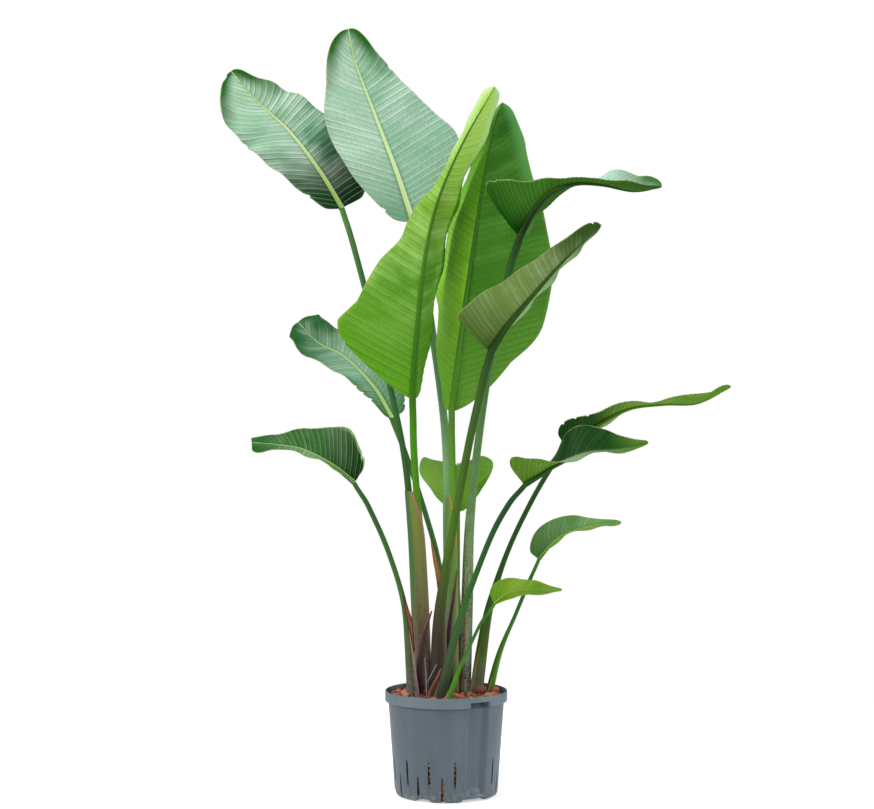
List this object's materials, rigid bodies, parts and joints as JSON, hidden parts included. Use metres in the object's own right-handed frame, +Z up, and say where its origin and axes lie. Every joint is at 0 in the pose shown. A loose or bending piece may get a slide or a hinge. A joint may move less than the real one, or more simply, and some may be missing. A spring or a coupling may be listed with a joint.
{
  "type": "potted white bird of paradise plant",
  "caption": "Tall white bird of paradise with waxy paddle leaves in a slotted blue-grey plastic culture pot of fired clay pebbles.",
  "frame": {"origin": "centre of the pot's underside, on the ground", "axes": "+Z up along the pot's axis; the pictured front faces -Y; +X is to the right of the picture"},
  "size_m": [0.9463, 0.5049, 1.4138],
  "materials": {
    "culture_pot": "satin",
    "clay": "rough, unglazed",
    "root": "fleshy, matte",
    "stalk": "waxy plant tissue",
    "leaf": "waxy leaf, glossy above"
  },
  "bodies": {
    "root": {"pot": "culture_pot", "clay_pebbles": "clay", "rootstock": "root", "leaf_01_stalk": "stalk", "leaf_01_blade": "leaf", "leaf_02_stalk": "stalk", "leaf_02_blade": "leaf", "leaf_03_stalk": "stalk", "leaf_03_blade": "leaf", "leaf_04_stalk": "stalk", "leaf_04_blade": "leaf", "leaf_05_stalk": "stalk", "leaf_05_blade": "leaf", "leaf_06_stalk": "stalk", "leaf_06_blade": "leaf", "leaf_07_stalk": "stalk", "leaf_07_blade": "leaf", "leaf_08_stalk": "stalk", "leaf_08_blade": "leaf", "leaf_09_stalk": "stalk", "leaf_09_blade": "leaf", "leaf_10_stalk": "stalk", "leaf_10_blade": "leaf", "leaf_11_stalk": "stalk", "leaf_11_blade": "leaf", "leaf_12_stalk": "stalk", "leaf_12_blade": "leaf", "leaf_13_stalk": "stalk", "leaf_13_blade": "leaf"}
  },
  "joints": []
}
